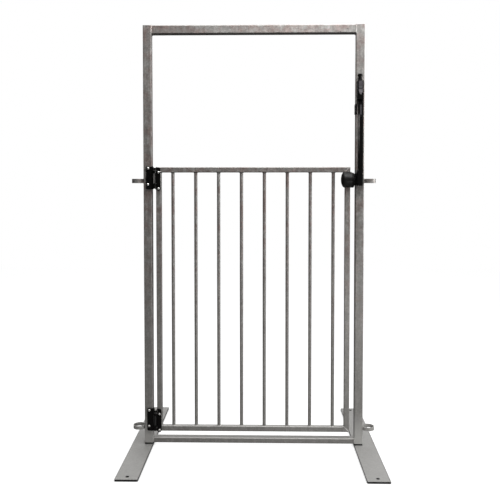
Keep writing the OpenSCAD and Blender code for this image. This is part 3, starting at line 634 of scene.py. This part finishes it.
weldTree = weldBeadTree("weld bead", weldZincAndGlints)
paths = []
for x in (leftInner, rightInner):
    barFront, barBack = frontY + frameWelds["barEnd"], backY - frameWelds["barEnd"]
    barStart, barEnd = barUnder + frameWelds["barStart"], barTop - frameWelds["barEnd"]
    barRidge = barTop - frameWelds["barTopSunk"]
    paths.append(straightPath((x, barFront, barUnder), (x, barBack, barUnder)))
    y = frontY + frameWelds["barSunk"]
    paths.append(straightPath((x, y, barStart), (x, y, barEnd)))
    paths.append(straightPath((x, barFront, barRidge), (x, barBack, barRidge)))
    y = backY - frameWelds["barSunk"]
    paths.append(straightPath((x, y, barStart), (x, y, barEnd)))
    sillFront, sillBack = frontY + frameWelds["sillGap"], backY - frameWelds["sillGap"]
    paths.append(straightPath((x, sillFront, sillTop), (x, sillBack, sillTop)))
    for y in (frontY + frameWelds["sillSunk"], backY - frameWelds["sillSunk"]):
        paths.append(straightPath((x, y, sillTop), (x, y, sillUnder + frameWelds["sillGap"])))
for ring in ("upper_left_ring", "upper_right_ring", "lower_left_ring", "lower_right_ring"):
    low, high = boxOf(ring)
    x = low[0] if low[0] > 0 else high[0]
    middleY = (low[1] + high[1]) / 2
    ringStart, ringEnd = low[2] + frameWelds["ringEnd"], high[2] - frameWelds["ringEnd"]
    for y in (middleY - frameWelds["ringReach"], middleY + frameWelds["ringReach"]):
        paths.append(straightPath((x, y, ringStart), (x, y, ringEnd)))
    across = frameWelds["ringAcross"]
    for z in (high[2], low[2]):
        paths.append(straightPath((x, middleY - across, z), (x, middleY + across, z)))
grow("frame_welds", pathMesh("frame_welds", paths), weldTree, frameWelds["sizes"],
     "frame")

paths = []
for number in range(1, leafWelds["pales"] + 1):
    low, high = boxOf("pale_%d" % number)
    middle = ((low[0] + high[0]) / 2, (low[1] + high[1]) / 2)
    for z in (railTop, railUnder):
        paths.append(circlePath((*middle, z), leafWelds["paleCircle"]))
acrossFront, acrossBack = leafFront + leafWelds["gap"], leafBack - leafWelds["gap"]
for x, toMiddle in ((leafLow[0], 1), (leafHigh[0], -1)):
    inX = x + toMiddle * leafWelds["tube"]
    for z, inZ in ((leafLow[2], railTop), (leafHigh[2], railUnder)):
        # across the inner corner, then along the mitre in front and behind
        paths.append(straightPath((inX, acrossFront, inZ), (inX, acrossBack, inZ)))
        for y in (leafFront + leafWelds["mitreSunk"], leafBack - leafWelds["mitreSunk"]):
            start = (x + (inX - x) * leafWelds["mitreStart"], y, z + (inZ - z) * leafWelds["mitreStart"])
            paths.append(straightPath(start, (inX, y, inZ)))
grow("leaf_welds", pathMesh("leaf_welds", paths), weldTree, leafWelds["sizes"],
     "leaf")


# Grey strip pressed into the riser's recess

def softBar(name, low, high, roundEdge, material, body):
    # a bar between two corners in millimetres, with its front edges rounded
    mesh = bpy.data.meshes.new(name)
    bar = bmesh.new()
    bmesh.ops.create_cube(bar, size=1.0)
    for corner in bar.verts:
        corner.co = Vector([(low[i] + (corner.co[i] + 0.5) * (high[i] - low[i])) * mm for i in range(3)])
    near = 0.01  # mm
    frontEdges = [edge for edge in bar.edges if min(v.co.y for v in edge.verts) < (low[1] + near) * mm
                  and max(v.co.y for v in edge.verts) < (high[1] - near) * mm]
    bmesh.ops.bevel(bar, geom=frontEdges, offset=roundEdge * mm, segments=3, affect="EDGES")
    bar.to_mesh(mesh)
    bar.free()
    mesh.materials.append(material)
    piece = newObject(name, mesh)
    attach(piece, body)


riserStrip = {"low": (499.2, -97.8, 1587.8), "high": (507.8, -96.8, 1635.2), "round": 0.6}
softBar("riser_strip", riserStrip["low"], riserStrip["high"], riserStrip["round"], stripNylon,
        "frame")
print("riser strip made")


# Strip with a painted highlight on the flat of each hinge's middle knuckle, lighter on the upper hinge, and
# the ribs of its adjuster dial

# painted highlight: grey strips stand in for the light on the knuckle's flat, lighter on the upper hinge than
# on the lower
barrelHighlightStrips = {
    "width": 7.4, "x": -471, "front": -87.3, "back": -86.2, "low": 32, "high": 78, "round": 0.5,
    "lower": "#262626", "upper": "#5f5d5c",
}
for where, foot in zip(("lower", "upper"), hingeScrews["feet"]):
    low = (barrelHighlightStrips["x"] - barrelHighlightStrips["width"] / 2, barrelHighlightStrips["front"], foot + barrelHighlightStrips["low"])
    high = (barrelHighlightStrips["x"] + barrelHighlightStrips["width"] / 2, barrelHighlightStrips["back"], foot + barrelHighlightStrips["high"])
    highlightFinish = mouldedNylon(where + " barrel highlight", barrelHighlightStrips[where], gloss=0.3, roughness=0.4)
    softBar(where + "_barrel_highlight", low, high, barrelHighlightStrips["round"], highlightFinish, "leaf")

dialRibs = {
    "sizes": {"Width": 1.3 * mm, "Height": 6.6 * mm, "Depth": 0.9 * mm},
    "axis": (-471, -80), "radius": 8.0, "middle": 92.8,
    "count": 10,  # steps round the front half, with a rib between each two
}
ribPoints = []
for foot in hingeScrews["feet"]:
    for number in range(1, dialRibs["count"]):
        angle = math.pi + math.pi * number / dialRibs["count"]
        way = (math.cos(angle), math.sin(angle), 0)
        x, y = [dialRibs["axis"][i] + dialRibs["radius"] * way[i] for i in (0, 1)]
        ribPoints.append(((x, y, foot + dialRibs["middle"]), way))
# painted highlight: the ribs are grey against the black dial, standing in for the light they catch
dialRib = ribTree("dial rib", mouldedNylon("dial rib nylon, painted highlight", "#3c3b3b", gloss=0.3, roughness=0.4))
grow("dial_ribs", pointMesh("dial_ribs", ribPoints), dialRib, dialRibs["sizes"], "frame")
print("hinge strips and dial ribs made")
